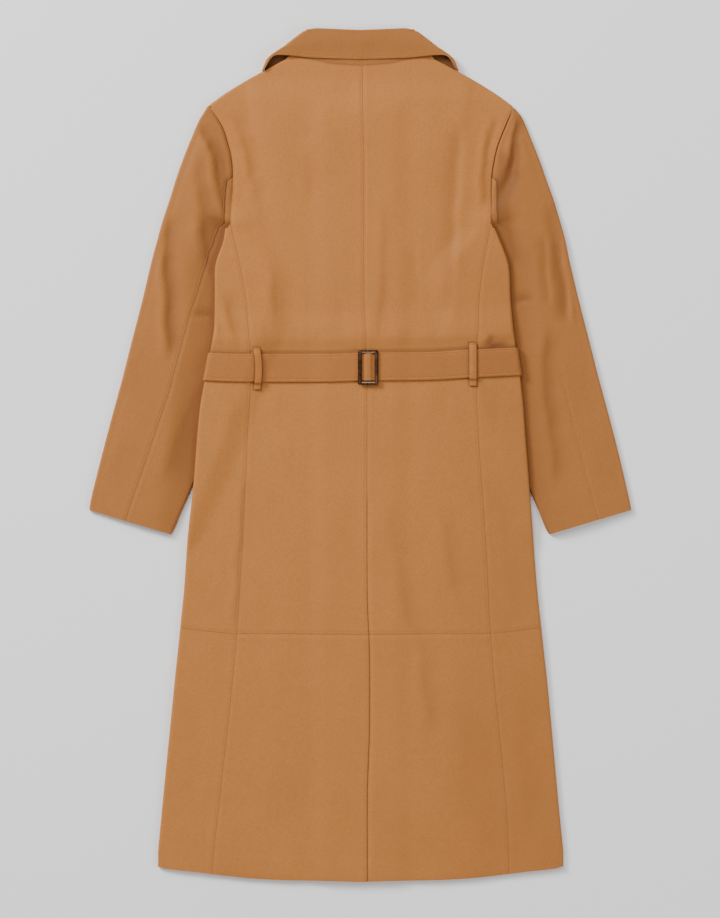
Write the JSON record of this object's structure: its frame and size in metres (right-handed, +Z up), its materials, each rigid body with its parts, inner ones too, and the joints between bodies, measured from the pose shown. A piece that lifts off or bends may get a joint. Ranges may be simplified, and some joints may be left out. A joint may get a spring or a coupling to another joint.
{
  "type": "coat",
  "caption": "Long camel leather coat laid flat, back up, with seamed panels, vent, spread collar, long sleeves and a belt through loops with a dark slide buckle",
  "frame": {"origin": "Middle of the laid coat's outline, on the surface under it", "axes": "+Y from the hem to the collar, +Z up out of the coat's back, +X to the viewer's right, the wearer's right sleeve"},
  "size_m": [0.7984, 1.257, 0.0191],
  "materials": {
    "coat_leather": "soft matte, fine grain",
    "leather_underside": "matte",
    "belt_leather": "soft matte, fine grain",
    "dark_horn": "polished, mottled like horn"
  },
  "bodies": {
    "root": {"back_left_upper": "coat_leather", "back_right_upper": "coat_leather", "back_left_lower": "coat_leather", "back_right_lower": "coat_leather", "side_left_upper": "coat_leather", "side_right_upper": "coat_leather", "side_left_lower": "coat_leather", "side_right_lower": "coat_leather", "front_left": "coat_leather", "front_right": "coat_leather", "sleeve_left_outer": "coat_leather", "sleeve_left_under": "coat_leather", "sleeve_right_outer": "coat_leather", "sleeve_right_under": "coat_leather", "collar_fall": "coat_leather", "collar_stand": "leather_underside", "belt": "belt_leather", "belt_loop_left": "belt_leather", "belt_loop_right": "belt_leather", "buckle_frame": "dark_horn"}
  },
  "joints": []
}
